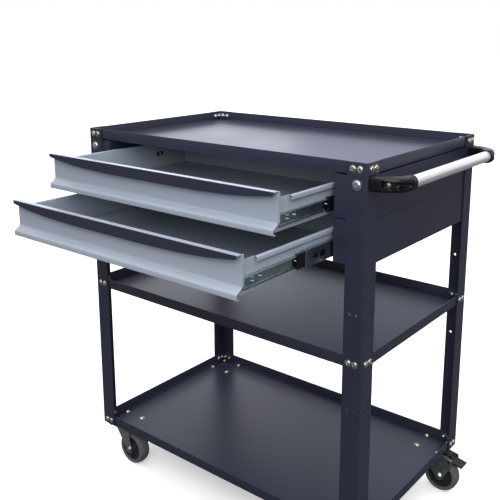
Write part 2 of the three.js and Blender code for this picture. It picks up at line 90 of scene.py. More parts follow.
def light_room():
    """The room's glow: a colour ramp by height for each sky, mixed by the direction's bearing. The
    camera itself sees plain white."""
    world = bpy.data.worlds.new("studio")
    world.use_nodes = True
    tree = world.node_tree
    tree.nodes.clear()
    direction = add_node(tree, "ShaderNodeTexCoord").outputs["Generated"]
    height = add_node(tree, "ShaderNodeSeparateXYZ", {0: direction}).outputs["Z"]
    to_rear_left = add_node(
        tree, "ShaderNodeVectorMath", {0: direction, 1: REAR_LEFT}, operation="DOT_PRODUCT"
    ).outputs["Value"]
    rearward = add_node(tree, "ShaderNodeMapRange", {
        "Value": to_rear_left, "From Min": REAR_FADE[0], "From Max": REAR_FADE[1],
    }, interpolation_type="SMOOTHSTEP").outputs["Result"]
    glows = []
    for sky in (FRONT_SKY, REAR_SKY):
        ramp = add_node(tree, "ShaderNodeValToRGB", {"Fac": height})
        stops = ramp.color_ramp.elements
        while len(stops) < len(sky):
            stops.new(0.5)
        for stop, (z, share, tint) in zip(stops, sky):
            stop.position = z
            stop.color = (*(share * channel for channel in tint), 1)
        glows.append(ramp.outputs["Color"])
    glow = add_node(tree, "ShaderNodeMix", {
        "Factor": rearward, 6: glows[0], 7: glows[1],
    }, data_type="RGBA").outputs[2]
    seen = add_node(tree, "ShaderNodeLightPath").outputs["Is Camera Ray"]
    strength = add_node(tree, "ShaderNodeMix", {"Factor": seen, 2: CEILING_GLOW, 3: 1.0}).outputs[0]
    colour = add_node(tree, "ShaderNodeMix", {
        "Factor": seen, 6: glow, 7: (*NEUTRAL, 1.0),
    }, data_type="RGBA").outputs[2]
    background = add_node(tree, "ShaderNodeBackground", {"Strength": strength, "Color": colour})
    output = add_node(tree, "ShaderNodeOutputWorld")
    tree.links.new(background.outputs[0], output.inputs["Surface"])
    bpy.context.scene.world = world


def add_panel_light(name, location, target, size, power):
    """A soft rectangular lamp that faces its target. Its size is in metres and its power in watts."""
    lamp = bpy.data.lights.new(name, "AREA")
    lamp.shape = "RECTANGLE"
    lamp.size, lamp.size_y = size
    lamp.energy = power
    panel = bpy.data.objects.new(name, lamp)
    panel.location = location
    aim = Vector(target) - Vector(location)
    panel.rotation_euler = aim.to_track_quat("-Z", "Y").to_euler()
    bpy.context.scene.collection.objects.link(panel)


def lay_floor():
    """One flat square of matt white paper."""
    half = FLOOR_SIZE / 2
    mesh = bpy.data.meshes.new("floor")
    corners = [(-half, -half, 0), (half, -half, 0), (half, half, 0), (-half, half, 0)]
    mesh.from_pydata(corners, [], [(0, 1, 2, 3)])
    floor = bpy.data.objects.new("floor", mesh)
    paper = bpy.data.materials.new("white_paper")
    paper.use_nodes = True
    shader = paper.node_tree.nodes["Principled BSDF"]
    seen = add_node(paper.node_tree, "ShaderNodeLightPath").outputs["Is Camera Ray"]
    tone = add_node(paper.node_tree, "ShaderNodeMix", {
        "Factor": seen, 6: (*[FLOOR_BOUNCE] * 3, 1), 7: (*[FLOOR_TONE] * 3, 1),
    }, data_type="RGBA").outputs[2]
    sheen = add_node(paper.node_tree, "ShaderNodeMath", {0: seen, 1: FLOOR_SHEEN}, operation="MULTIPLY")
    paper.node_tree.links.new(tone, shader.inputs["Base Color"])
    paper.node_tree.links.new(sheen.outputs[0], shader.inputs["Emission Strength"])
    shader.inputs["Emission Color"].default_value = (1, 1, 1, 1)
    shader.inputs["Roughness"].default_value = 1.0
    shader.inputs["Specular IOR Level"].default_value = 0.0
    mesh.materials.append(paper)
    bpy.context.scene.collection.objects.link(floor)


def stand_camera():
    """A camera at the front right, a little above the trolley and tilted down to it."""
    lens = bpy.data.cameras.new("camera")
    lens.sensor_width = 36
    lens.lens = LENS
    lens.shift_x, lens.shift_y = LENS_SHIFT
    lens.clip_end = 2 * FLOOR_SIZE
    camera = bpy.data.objects.new("camera", lens)
    camera.location = CAMERA_AT
    camera.rotation_euler = (math.radians(90 - CAMERA_DOWN), 0, math.radians(CAMERA_TURN))
    bpy.context.scene.collection.objects.link(camera)
    bpy.context.scene.camera = camera
    bpy.context.scene.view_settings.view_transform = "Standard"


light_room()
add_panel_light("back_left_panel", (-3.2, 3.3, 1.4), (0, 0.1, 0.8), (1.5, 0.7), 7)
add_panel_light("right_panel", (2.0, -2.8, 2.4), (0, -0.1, 0.7), (2.4, 2.0), 92)
lay_floor()
stand_camera()

# ---------------------------------------------------------------- posts and housing panels
# Angle posts and bent side panels, all in one dark blue-grey polyester powder coat. Sprayed dry
# and baked, it is semi-gloss with a fine orange peel that blurs what it reflects.
MM = 0.001
DARK_COAT = "242739"
PEEL_WIDTH = 2.2 * MM  # the waviness of the baked film, drawn a little coarse so that it shows
CLOUD_WIDTH = 160 * MM
CLOUD_TONE = 0.07  # how much lighter or darker a cloud is
CLOUD_GLOSS = 0.04


def linear(hex_colour):
    """The linear RGBA of an sRGB hex colour."""
    channels = np.array([int(hex_colour[i:i + 2], 16) / 255 for i in (0, 2, 4)])
    low = channels / 12.92
    high = ((channels + 0.055) / 1.055) ** 2.4
    return (*np.where(channels <= 0.04045, low, high), 1.0)


def powder_coat(name, hex_colour, roughness, peel_height):
    """Baked powder coat: a plastic film, slightly clouded in tone, with orange peel."""
    material = bpy.data.materials.new(name)
    material.use_nodes = True
    tree = material.node_tree
    shader = tree.nodes["Principled BSDF"]
    place = add_node(tree, "ShaderNodeTexCoord").outputs["Object"]
    clouds = add_node(tree, "ShaderNodeTexNoise", {
        "Vector": place, "Scale": 1 / CLOUD_WIDTH, "Detail": 3.0,
    })
    colour = np.array(linear(hex_colour))
    tone = add_node(tree, "ShaderNodeMix", {
        "Factor": clouds.outputs["Fac"],
        6: tuple(colour * (1 - CLOUD_TONE)),
        7: tuple(np.minimum(colour * (1 + CLOUD_TONE), 1)),
    }, data_type="RGBA")
    peel = add_node(tree, "ShaderNodeTexNoise", {
        "Vector": place, "Scale": 1 / PEEL_WIDTH, "Detail": 2.0,
    })
    bump = add_node(tree, "ShaderNodeBump", {
        "Height": peel.outputs["Fac"], "Strength": 1.0, "Distance": peel_height,
    })
    gloss = add_node(tree, "ShaderNodeMapRange", {
        "Value": clouds.outputs["Fac"],
        "To Min": roughness - CLOUD_GLOSS,
        "To Max": roughness + CLOUD_GLOSS,
    })
    tree.links.new(tone.outputs[2], shader.inputs["Base Color"])
    tree.links.new(gloss.outputs["Result"], shader.inputs["Roughness"])
    tree.links.new(bump.outputs["Normal"], shader.inputs["Normal"])
    shader.inputs["IOR"].default_value = 1.5
    return material


def finish_node(node, material):
    """Gives a node of the frame its finish."""
    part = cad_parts[node]
    part.data.materials.clear()
    part.data.materials.append(material)


dark_coat = powder_coat("polyester_powder_coat_dark", DARK_COAT, 0.36, 0.05 * MM)
LEVELS = ("upper", "lower")
ENDS = {"left": -1, "right": 1}  # which way along X
SIDES = {"front": -1, "rear": 1}  # which way along Y
CORNERS = [(f"{side}_{end}", mx, my) for side, my in SIDES.items() for end, mx in ENDS.items()]
for corner, _, _ in CORNERS:
    finish_node(f"post_{corner}", dark_coat)
for end in ENDS:
    for level in LEVELS:
        finish_node(f"side_panel_{level}_{end}", dark_coat)
finish_node("housing_rear_panel", dark_coat)

# ---------------------------------------------------------------- trays
# Three shallow trays pressed from 1.2 mm sheet: a flat floor, a tight bend and an upright rim
# whose welded corners are ground round. They carry the same dark coat as the posts.
TRAY_SHEET = 1.2 * MM
TRAY_BEND = 2.4 * MM
TRAY_CORNER = 3.0 * MM
TRAY_LEAST_CORNER = 0.3 * MM
TRAY_EDGE = 0.45 * MM
TRAY_FLAT = 6 * MM  # how far inside the outer face the floor's flat middle begins


def grid_faces(rows, columns):
    """Quads of a grid that is closed round its columns."""
    row, column = np.meshgrid(np.arange(rows - 1), np.arange(columns), indexing="ij")
    after = (column + 1) % columns
    a = row * columns + column
    b = row * columns + after
    return np.stack([a, b, b + columns, a + columns], -1).reshape(-1, 4).tolist()


def capped_rings(rings):
    """A shape through rings of points, shape (rows, columns, 3), with a flat face on each end."""
    rows, columns = rings.shape[:2]
    first = list(range(columns))
    last = [(rows - 1) * columns + i for i in first]
    return rings.reshape(-1, 3), grid_faces(rows, columns) + [first[::-1], last]


def join(*shapes):
    """Several shapes as one."""
    points, faces, count = [], [], 0
    for shape_points, shape_faces in shapes:
        points.append(shape_points)
        faces += [[i + count for i in face] for face in shape_faces]
        count += len(shape_points)
    return np.concatenate(points), faces


def make_piece(name, shape, material, body, stands_for=(), edge=0.0, smooth_angle=35):
    """Puts a shape into a named piece that rides on a body. edge is the width of its broken edges."""
    points, faces = shape
    mesh = bpy.data.meshes.new(name)
    mesh.from_pydata(np.asarray(points).tolist(), [], faces)
    work = bmesh.new()
    work.from_mesh(mesh)
    bmesh.ops.recalc_face_normals(work, faces=work.faces)
    work.to_mesh(mesh)
    work.free()
    mesh.shade_smooth()
    mesh.set_sharp_from_angle(angle=math.radians(smooth_angle))
    mesh.materials.append(material)
    piece = bpy.data.objects.new(name, mesh)
    bpy.context.scene.collection.objects.link(piece)
    if edge:
        bevel = piece.modifiers.new("broken_edges", "BEVEL")
        bevel.width = edge
        bevel.segments = 2
        bevel.limit_method = "ANGLE"
        bevel.angle_limit = math.radians(smooth_angle)
        bevel.harden_normals = True
    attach(piece, body)
    if stands_for:
        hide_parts(*stands_for)
    return piece


def rounded_rectangle(half_x, half_y, radius, steps=6):
    """Points round a rectangle whose corners are quarter circles."""
    turn = np.linspace(0, np.pi / 2, steps + 1)
    quarter = np.arange(4)[:, None] * np.pi / 2
    angle = quarter + turn
    middle = quarter + np.pi / 4
    x = np.sign(np.cos(middle)) * (half_x - radius) + radius * np.cos(angle)
    y = np.sign(np.sin(middle)) * (half_y - radius) + radius * np.sin(angle)
    return np.stack([x, y], -1).reshape(-1, 2)


def tray_shape(low, high):
    """Rings of the rim's section, each a rounded rectangle moved inwards by its distance from the
    outer face: under the floor, round the bend, up, over the edge and down to the floor again."""
    height = high.z - low.z
    quarter = np.linspace(0, np.pi / 2, 6)
    inner_bend = TRAY_BEND - TRAY_SHEET
    outer = TRAY_BEND * np.stack([1 - np.sin(quarter), 1 - np.cos(quarter)], -1)
    half_turn = np.linspace(0, np.pi, 7)
    edge = np.stack([TRAY_SHEET / 2 * (1 - np.cos(half_turn)),
                     height - TRAY_EDGE + TRAY_EDGE * np.sin(half_turn)], -1)
    inner = np.stack([TRAY_BEND - inner_bend * np.cos(quarter),
                      TRAY_BEND - inner_bend * np.sin(quarter)], -1)
    section = np.concatenate([[[TRAY_FLAT, 0]], outer, edge, inner, [[TRAY_FLAT, TRAY_SHEET]]])
    half = (high - low) / 2
    centre = (high + low) / 2
    rings = []
    for inwards, z in section:
        radius = max(TRAY_CORNER - inwards, TRAY_LEAST_CORNER)
        outline = rounded_rectangle(half.x - inwards, half.y - inwards, radius) + (centre.x, centre.y)
        rings.append(np.column_stack([outline, np.full(len(outline), low.z + z)]))
    return capped_rings(np.array(rings))


TRAYS = ("top_tray", "middle_shelf", "bottom_shelf")
for tray in TRAYS:
    make_piece(f"{tray}_pressing", tray_shape(*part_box(tray)), dark_coat, "frame", [tray])

# ---------------------------------------------------------------- rim screws and their nuts
# M6 flange screws hold each tray to each post, two in each leg of the angle, with hexagon nuts
# inside the rim. They are zinc plated and chromated, which leaves a faint yellow shine.
SCREW_RADIUS = 6.7 * MM
SCREW_HEIGHT = 3.4 * MM
CROSS_SIZE = 2.9 * MM
CROSS_DEPTH = 1.7 * MM
FLANGE_RISE = 0.3  # the flange's share of a head's height
FLANGE_SWELL = 1.05
DOME_SHARE = 0.82  # the dome's share of a head's radius
SCREW_BELOW_RIM = 11.7 * MM
SCREW_FROM_CORNER = (14.5 * MM, 28.5 * MM)
NUT_RADIUS = 5.6 * MM
NUT_HEIGHT = 5.0 * MM
TIP_RADIUS = 2.9 * MM
TIP_LENGTH = 8.0 * MM
TRAY_INSET = 2.5 * MM  # from a post's outer face to a tray's


def plated_steel(name, hex_colour, roughness, patch_colour, patch_width):
    """Zinc plate on steel: a metal, with patches of chromate tint and an uneven shine."""
    material = bpy.data.materials.new(name)
    material.use_nodes = True
    tree = material.node_tree
    shader = tree.nodes["Principled BSDF"]
    shader.inputs["Metallic"].default_value = 1.0
    place = add_node(tree, "ShaderNodeTexCoord").outputs["Object"]
    patches = add_node(tree, "ShaderNodeTexNoise", {
        "Vector": place, "Scale": 1 / patch_width, "Detail": 4.0,
    })
    tint = add_node(tree, "ShaderNodeMapRange", {
        "Value": patches.outputs["Fac"], "From Min": 0.38, "From Max": 0.62,
    })
    tone = add_node(tree, "ShaderNodeMix", {
        "Factor": tint.outputs["Result"], 6: linear(hex_colour), 7: linear(patch_colour),
    }, data_type="RGBA")
    shine = add_node(tree, "ShaderNodeMapRange", {
        "Value": patches.outputs["Fac"], "To Min": roughness - 0.06, "To Max": roughness + 0.06,
    })
    tree.links.new(tone.outputs[2], shader.inputs["Base Color"])
    tree.links.new(shine.outputs["Result"], shader.inputs["Roughness"])
    return material


def cross_recess(radius, angle, size):
    """How deep a driver's cross reaches, from 0 to 1: four arms that narrow towards their tips."""
    arm = size * (0.3 + 0.7 * np.abs(np.cos(2 * angle)) ** 8)
    return np.clip((arm - radius) / (0.22 * size), 0, 1)


def hexagon_recess(radius, angle, size):
    """How deep a hexagon socket reaches, from 0 to 1, with its wall a tenth of its size wide."""
    flat = size / np.cos((angle % (np.pi / 3)) - np.pi / 6)
    return np.clip((flat - radius) / (0.1 * size), 0, 1)


def domed_head(radius, height, recess, size, depth, columns=32):
    """A screw head as height over radius and angle: a flat flange, then a dome that is a quarter
    ellipse, less the driver's recess."""
    share = np.array([1, 1, 0.96, 0.84, 0.8, 0.74, 0.66, 0.58, 0.5, 0.42, 0.34, 0.26, 0.18, 0.1, 0.03])
    flange = FLANGE_RISE * height
    dome = np.sqrt(1 - (share / DOME_SHARE).clip(0, 1) ** 2)
    rise = np.where(share > DOME_SHARE, flange, flange + (height - flange) * dome)
    rise[0] = 0
    rise[2] = flange * FLANGE_SWELL
    angle = np.linspace(0, 2 * np.pi, columns, endpoint=False)
    r = radius * share[:, None] * np.ones(columns)
    z = rise[:, None] - depth * recess(r, angle[None, :], size)
    z[0] = 0
    return capped_rings(np.stack([r * np.cos(angle), r * np.sin(angle), z], -1))


def turned(profile, sides=32, phase=0.0):
    """A solid turned about Z from its (radius, height) profile, foot first."""
    profile = np.asarray(profile, float)
    angle = phase + np.linspace(0, 2 * np.pi, sides, endpoint=False)
    radius, height = profile[:, :1], profile[:, 1:]
    rings = np.stack([radius * np.cos(angle), radius * np.sin(angle), height * np.ones(sides)], -1)
    return capped_rings(rings)


def placed(shape, origin, out, spin=0.0):
    """A shape made round Z, moved to origin and turned until its Z points along out."""
    points, faces = shape
    out = np.asarray(out, float)
    first = np.cross((0, 0, 1), out) if abs(out[2]) < 0.9 else np.array([1.0, 0, 0])
    second = np.cross(out, first)
    x = np.cos(spin) * first + np.sin(spin) * second
    y = np.cross(out, x)
    return points @ np.array([x, y, out]) + np.asarray(origin), faces


def nut_shape(radius, height, tip_radius, tip_length):
    """A hexagon nut with a chamfered crown and the screw's end through it."""
    chamfer = 0.14 * height
    hexagon = turned([[radius, 0], [radius, height - chamfer], [radius * 0.88, height]], 6)
    point = tip_length - 0.7 * MM
    tip = turned([[tip_radius, 0], [tip_radius, point], [tip_radius * 0.75, tip_length]], 16)
    return join(hexagon, tip)


yellow_zinc = plated_steel("zinc_plate_yellow_chromate", "d3d2c6", 0.25, "a9a896", 5 * MM)
bright_zinc = plated_steel("zinc_plate_clear_chromate", "c9d0cf", 0.26, "aab4b4", 9 * MM)
screw = domed_head(SCREW_RADIUS, SCREW_HEIGHT, cross_recess, CROSS_SIZE, CROSS_DEPTH)
nut = nut_shape(NUT_RADIUS, NUT_HEIGHT, TIP_RADIUS, TIP_LENGTH)
rim_inside = TRAY_INSET + TRAY_SHEET  # from a post's outer face to the inner face of a tray's rim
for corner, mx, my in CORNERS:
    low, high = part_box(f"post_{corner}")
    corner_x = high.x if mx > 0 else low.x
    corner_y = high.y if my > 0 else low.y
    heads, nuts = [], []
    for level, tray in enumerate(TRAYS):
        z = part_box(tray)[1].z - SCREW_BELOW_RIM
        for number, inwards in enumerate(SCREW_FROM_CORNER):
            turn = 0.7 * level + 1.1 * number + mx + 2 * my  # no two neighbours are turned alike
            along_x = corner_x - mx * inwards
            along_y = corner_y - my * inwards
            heads.append(placed(screw, (along_x, corner_y, z), (0, my, 0), turn))
            heads.append(placed(screw, (corner_x, along_y, z), (mx, 0, 0), turn + 0.5))
            nuts.append(placed(nut, (along_x, corner_y - my * rim_inside, z), (0, -my, 0), turn))
            nuts.append(placed(nut, (corner_x - mx * rim_inside, along_y, z), (-mx, 0, 0), turn))
    make_piece(f"rim_screws_{corner}", join(*heads), yellow_zinc, "frame")
    make_piece(f"rim_nuts_{corner}", join(*nuts), bright_zinc, "frame")

# ---------------------------------------------------------------- housing bolts
# One M8 button-head bolt through each post holds the drawer housing. The heads are turned, with a
# hexagon socket, and bright zinc plated; each has a nut behind the sheet.
BOLT_RADIUS = 9.4 * MM
BOLT_HEIGHT = 4.8 * MM
SOCKET_SIZE = 2.9 * MM
SOCKET_DEPTH = 2.6 * MM
BOLT_NUT_RADIUS = 7.2 * MM
BOLT_NUT_HEIGHT = 6.5 * MM
BOLT_TIP_RADIUS = 3.9 * MM
BOLT_TIP_LENGTH = 9.0 * MM
bolt_head = domed_head(BOLT_RADIUS, BOLT_HEIGHT, hexagon_recess, SOCKET_SIZE, SOCKET_DEPTH, 48)
bolt_nut = nut_shape(BOLT_NUT_RADIUS, BOLT_NUT_HEIGHT, BOLT_TIP_RADIUS, BOLT_TIP_LENGTH)
for corner, mx, my in CORNERS:
    node = f"housing_bolt_{corner}"
    low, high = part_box(node)
    centre = (low + high) / 2
    post_low, post_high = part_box(f"post_{corner}")
    face_y = post_high.y if my > 0 else post_low.y
    behind = face_y - my * rim_inside
    head = placed(bolt_head, (centre.x, face_y, centre.z), (0, my, 0), 0.4)
    back = placed(bolt_nut, (centre.x, behind, centre.z), (0, -my, 0), 0.2)
    make_piece(f"{node}_head_and_nut", join(head, back), bright_zinc, "frame", [node])

# ---------------------------------------------------------------- drawer fronts
# Each front is one 1.5 mm sheet in light grey powder coat: a lip forward at the top, a flat face,
# a foot that flares forward in a soft curve and ends in a small hem, and short returns at its ends.
LIGHT_COAT = "969eac"
FRONT_SHEET = 1.5 * MM
LIP = 10.7 * MM
FLARE_TOP = 54.5 * MM
FLARE_OUT = 13.0 * MM
FLARE_BEND = 63.0 * MM
FOOT = 72.4 * MM
FOOT_BACK = 6.5 * MM
FRONT_BENDS = [2.0 * MM, 7.0 * MM, 2.0 * MM, 0.8 * MM]  # radii, from the lip down to the hem
END_RETURN = 4.0 * MM
RETURN_SHORT = 1.0 * MM  # a return ends this far above the flare


def rounded_line(corners, radii, steps=6):
    """Corner points joined by straight stretches, with an arc of the given radius in each bend."""
    corners = np.asarray(corners, float)
    stretches = [corners[:1]]
    for before, corner, after, radius in zip(corners, corners[1:], corners[2:], radii):
        a = (corner - before) / np.linalg.norm(corner - before)
        b = (after - corner) / np.linalg.norm(after - corner)
        turn = math.atan2(a[0] * b[1] - a[1] * b[0], a @ b)
        inwards = math.copysign(1, turn) * np.array([-a[1], a[0]])
        start = corner - a * radius * math.tan(abs(turn) / 2)
        s = np.linspace(0, abs(turn), steps + 1)[:, None]
        stretches.append(start + radius * (np.sin(s) * a + (1 - np.cos(s)) * inwards))
    return np.concatenate(stretches + [corners[-1:]])


def sheet_section(line, thickness):
    """The closed section of a sheet that follows a line, with its thickness on the line's right."""
    edges = np.diff(line, axis=0)
    edges /= np.linalg.norm(edges, axis=1, keepdims=True)
    right = np.stack([edges[:, 1], -edges[:, 0]], -1)
    mitre = np.concatenate([right[:1], right]) + np.concatenate([right, right[-1:]])
    moved = line + 2 * thickness * mitre / (mitre**2).sum(1, keepdims=True)
    return np.concatenate([line, moved[::-1]])


def swept(outline, axis, start, end):
    """A closed outline carried straight along an axis. Its two coordinates are the other axes."""
    rings = np.zeros((2, len(outline), 3))
    rings[:, :, [k for k in range(3) if k != axis]] = outline
    rings[0, :, axis] = start
    rings[1, :, axis] = end
    return capped_rings(rings)


light_coat = powder_coat("polyester_powder_coat_light", LIGHT_COAT, 0.25, 0.03 * MM)
face_ys = {}
for level in LEVELS:
    low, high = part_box(f"drawer_front_{level}")
    face_y = high.y - FRONT_SHEET
    face_ys[level] = face_y
    line = rounded_line([
        (face_y - LIP, high.z),
        (high.y, high.z),
        (high.y, high.z - FLARE_TOP),
        (face_y - FLARE_OUT + FRONT_SHEET, high.z - FLARE_BEND),
        (face_y - FLARE_OUT + FRONT_SHEET, high.z - FOOT + FRONT_SHEET),
        (face_y - FOOT_BACK, high.z - FOOT + FRONT_SHEET),
    ], FRONT_BENDS, steps=10)
    sheet = swept(sheet_section(line, FRONT_SHEET), 0, low.x, high.x)
    returns = []
    for end, mx in ENDS.items():
        edge_x = high.x if mx > 0 else low.x
        section = np.array([
            (edge_x, face_y + FRONT_SHEET / 2),
            (edge_x, high.y + END_RETURN),
            (edge_x - mx * FRONT_SHEET, high.y + END_RETURN),
            (edge_x - mx * FRONT_SHEET, face_y + FRONT_SHEET / 2),
        ])
        foot_z = high.z - FLARE_TOP + RETURN_SHORT
        returns.append(swept(section, 2, foot_z, high.z - FRONT_SHEET / 2))
    make_piece(f"drawer_front_{level}_sheet", join(sheet, *returns), light_coat, f"drawer_{level}",
               [f"drawer_front_{level}"], edge=0.3 * MM)

# ---------------------------------------------------------------- finger pulls
# A dark strip hangs from the front edge of each lip, deepest in the middle and shallow at both
# ends, so that fingers hook up behind it. It is bent from thin sheet and coated like the frame.
PULL_SHEET = 1.1 * MM
PULL_MIDDLE = 20 * MM
PULL_END = 6 * MM
PULL_POWER = 3.5
PULL_CORNER = 4.5 * MM
PULL_CORNER_RISE = 0.8  # the share of an end's height that its corner takes
LEDGE_INSET = 0.2 * MM  # the ledge's fold lies this far inside the strip's face
LEDGE_DROP = 3 * MM
LEDGE_BEND = 1.2 * MM
LEDGE_SHORT = 2 * MM


def pull_outline(half, top):
    """The strip's face: a straight top edge, and below it a curve that rises with a power of the
    distance from the middle and turns round a small corner at each end."""
    share = np.sin(np.linspace(-1, 1, 81) * np.pi / 2)
    x = share * (half - PULL_CORNER)
    z = top - PULL_MIDDLE + (PULL_MIDDLE - PULL_END) * np.abs(x / half) ** PULL_POWER
    quarter = np.linspace(0, np.pi / 2, 7)[1:]
    end_x = x[-1] + PULL_CORNER * np.sin(quarter)
    end_z = z[-1] + (top - z[-1]) * PULL_CORNER_RISE * (1 - np.cos(quarter))
    lower = np.column_stack([
        np.concatenate([-end_x[::-1], x, end_x]),
        np.concatenate([end_z[::-1], z, end_z]),
    ])
    return np.concatenate([lower, [[end_x[-1], top], [-end_x[-1], top]]])


for level in LEVELS:
    node = f"drawer_pull_{level}"
    low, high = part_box(node)
    outline = pull_outline((high.x - low.x) / 2, high.z) + ((high.x + low.x) / 2, 0)
    leg = swept(outline, 1, low.y, low.y + PULL_SHEET)
    ledge_line = rounded_line([
        (low.y + LEDGE_INSET, high.z - LEDGE_DROP),
        (low.y + LEDGE_INSET, high.z - FRONT_SHEET),
        (high.y, high.z - FRONT_SHEET),
    ], [LEDGE_BEND])
    ledge = swept(sheet_section(ledge_line, PULL_SHEET), 0, low.x + LEDGE_SHORT, high.x - LEDGE_SHORT)
    make_piece(f"{node}_strip", join(leg, ledge), dark_coat, f"drawer_{level}", [node],
               edge=0.25 * MM)

# ---------------------------------------------------------------- housing flanges
# The rear panel's top edge is folded inwards under the tray, and a strip is spot-welded behind the
# seam of each pair of side panels. They stiffen the thin sheet, close its seams and wear its coat.
FLANGE_DEPTH = 14 * MM
FLANGE_LAP = 4.8 * MM  # how far its lower edge reaches down the panel
FLANGE_BEND = 1.5 * MM
PANEL_SHEET = 1.2 * MM
STRIP_REACH = 5 * MM  # how far a strip laps over each panel
STRIP_SHORT = 4 * MM  # how much sooner a strip ends than its panels
STRIP_CORNER = 1 * MM
low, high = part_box("housing_rear_panel")
flange_line = rounded_line([
    (high.y - PANEL_SHEET, high.z - FLANGE_LAP),
    (high.y - PANEL_SHEET, high.z),
    (high.y - FLANGE_DEPTH, high.z),
], [FLANGE_BEND])
make_piece("housing_rear_flange", swept(sheet_section(flange_line, -PANEL_SHEET), 0, low.x, high.x),
           dark_coat, "frame")
for end, mx in ENDS.items():
    low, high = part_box(f"side_panel_lower_{end}")
    seam_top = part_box(f"side_panel_upper_{end}")[0].z
    inner_x = mx * (max(-low.x, high.x) - PANEL_SHEET)
    half_z = (seam_top - high.z) / 2 + STRIP_REACH
    half_y = (high.y - low.y) / 2 - STRIP_SHORT
    middle = ((low.y + high.y) / 2, (seam_top + high.z) / 2)
    outline = rounded_rectangle(half_y, half_z, STRIP_CORNER) + middle
    strip = swept(outline, 0, inner_x - mx * PANEL_SHEET, inner_x)
    make_piece(f"side_panel_strip_{end}", strip, dark_coat, "frame")

# ---------------------------------------------------------------- drawer boxes
# The box behind each front is folded from 1 mm sheet, floor and walls in one piece with a rear
# wall. From 39 mm behind the front the walls' top edges roll outwards into a stiff round bead. A
# black nylon clip is screwed to the inside of each wall, where the slide hooks in.
BOX_SHEET = 1.0 * MM
BEAD_OUT = 5.7 * MM
BEAD_DROP = 9.6 * MM
BEAD_BEHIND = 39 * MM
BEAD_ROUND = 2.0 * MM
BEAD_LIP = 2.2 * MM
BEAD_LIP_ROUND = 0.8 * MM
BOX_BEND = 2.0 * MM
BOX_GAP = 0.2 * MM  # between the front, the floor and the rear wall, so that no faces coincide
REAR_FLANGE = 8 * MM
REAR_BEND = 1.5 * MM
CLIP_BEHIND = 293 * MM
CLIP_BELOW_TOP = 26 * MM
CLIP_HALF = (10 * MM, 4.6 * MM)
CLIP_CORNER = 2 * MM
CLIP_SHEET = 0.8 * MM
CLIP_SCREW_RADIUS = 3.2 * MM
CLIP_SCREW_HEIGHT = 2.0 * MM
CLIP_CROSS = (1.8 * MM, 0.9 * MM)  # size and depth
GRAIN_TONE = 0.2  # how much lighter or darker a grain is


def moulded_plastic(name, hex_colour, roughness, grain_width, grain_height):
    """Injection-moulded plastic: an even colour with the fine grain of its spark-eroded mould."""
    material = bpy.data.materials.new(name)
    material.use_nodes = True
    tree = material.node_tree
    shader = tree.nodes["Principled BSDF"]
    place = add_node(tree, "ShaderNodeTexCoord").outputs["Object"]
    grain = add_node(tree, "ShaderNodeTexNoise", {
        "Vector": place, "Scale": 1 / grain_width, "Detail": 3.0,
    })
    bump = add_node(tree, "ShaderNodeBump", {
        "Height": grain.outputs["Fac"], "Strength": 1.0, "Distance": grain_height,
    })
    colour = np.array(linear(hex_colour))
    tone = add_node(tree, "ShaderNodeMix", {
        "Factor": grain.outputs["Fac"],
        6: tuple(colour * (1 - GRAIN_TONE)),
        7: tuple(np.minimum(colour * (1 + GRAIN_TONE), 1)),
    }, data_type="RGBA")
    tree.links.new(tone.outputs[2], shader.inputs["Base Color"])
    tree.links.new(bump.outputs["Normal"], shader.inputs["Normal"])
    shader.inputs["Roughness"].default_value = roughness
    shader.inputs["Specular IOR Level"].default_value = 0.3
    return material


black_nylon = moulded_plastic("moulded_nylon_black", "09090a", 0.4, 1.2 * MM, 0.02 * MM)
clip_screw = domed_head(CLIP_SCREW_RADIUS, CLIP_SCREW_HEIGHT, cross_recess, *CLIP_CROSS, 24)
for level, face_y in face_ys.items():
    node = f"drawer_box_{level}"
    low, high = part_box(node)
    wall_left, wall_right = low.x + BEAD_OUT, high.x - BEAD_OUT
    start = face_y + BEAD_BEHIND
    trough = rounded_line([
        (wall_left, high.z), (wall_left, low.z), (wall_right, low.z), (wall_right, high.z),
    ], [BOX_BEND, BOX_BEND])
    outwards = np.array([BEAD_OUT - BEAD_LIP, BEAD_OUT - BOX_SHEET, BEAD_OUT - BOX_SHEET, 0, 0])
    bead_down = BEAD_DROP - BOX_SHEET
    down = np.array([bead_down, bead_down, BOX_SHEET, BOX_SHEET, high.z - low.z])
    left_half = np.column_stack([wall_left - outwards, high.z - down])
    right_half = np.column_stack([wall_right + outwards, high.z - down])[::-1]
    bends = [BEAD_LIP_ROUND, BEAD_ROUND, BEAD_ROUND, BOX_BEND]
    beaded = rounded_line(np.concatenate([left_half, right_half]), bends + bends[::-1])
    rear_line = rounded_line([
        (high.y, low.z + BOX_GAP), (high.y, high.z), (high.y - REAR_FLANGE, high.z),
    ], [REAR_BEND])
    shapes = [
        swept(sheet_section(trough, -BOX_SHEET), 1, low.y + BOX_GAP, start),
        swept(sheet_section(beaded, -BOX_SHEET), 1, start, high.y - BOX_SHEET),
        swept(sheet_section(rear_line, -BOX_SHEET), 0, wall_left, wall_right),
    ]
    clips, clip_screws = [], []
    for wall_x, mx in ((wall_left + BOX_SHEET, 1), (wall_right - BOX_SHEET, -1)):
        face_x = wall_x + mx * CLIP_SHEET
        middle = (face_y + CLIP_BEHIND, high.z - CLIP_BELOW_TOP)
        clips.append(swept(rounded_rectangle(*CLIP_HALF, CLIP_CORNER) + middle, 0, wall_x, face_x))
        clip_screws.append(placed(clip_screw, (face_x, *middle), (mx, 0, 0)))
    drawer = f"drawer_{level}"
    make_piece(f"drawer_clips_{level}", join(*clips), black_nylon, drawer)
    make_piece(f"drawer_clip_screws_{level}", join(*clip_screws), bright_zinc, drawer)
    make_piece(f"{node}_shell", join(*shapes), light_coat, drawer, [node], edge=0.2 * MM)

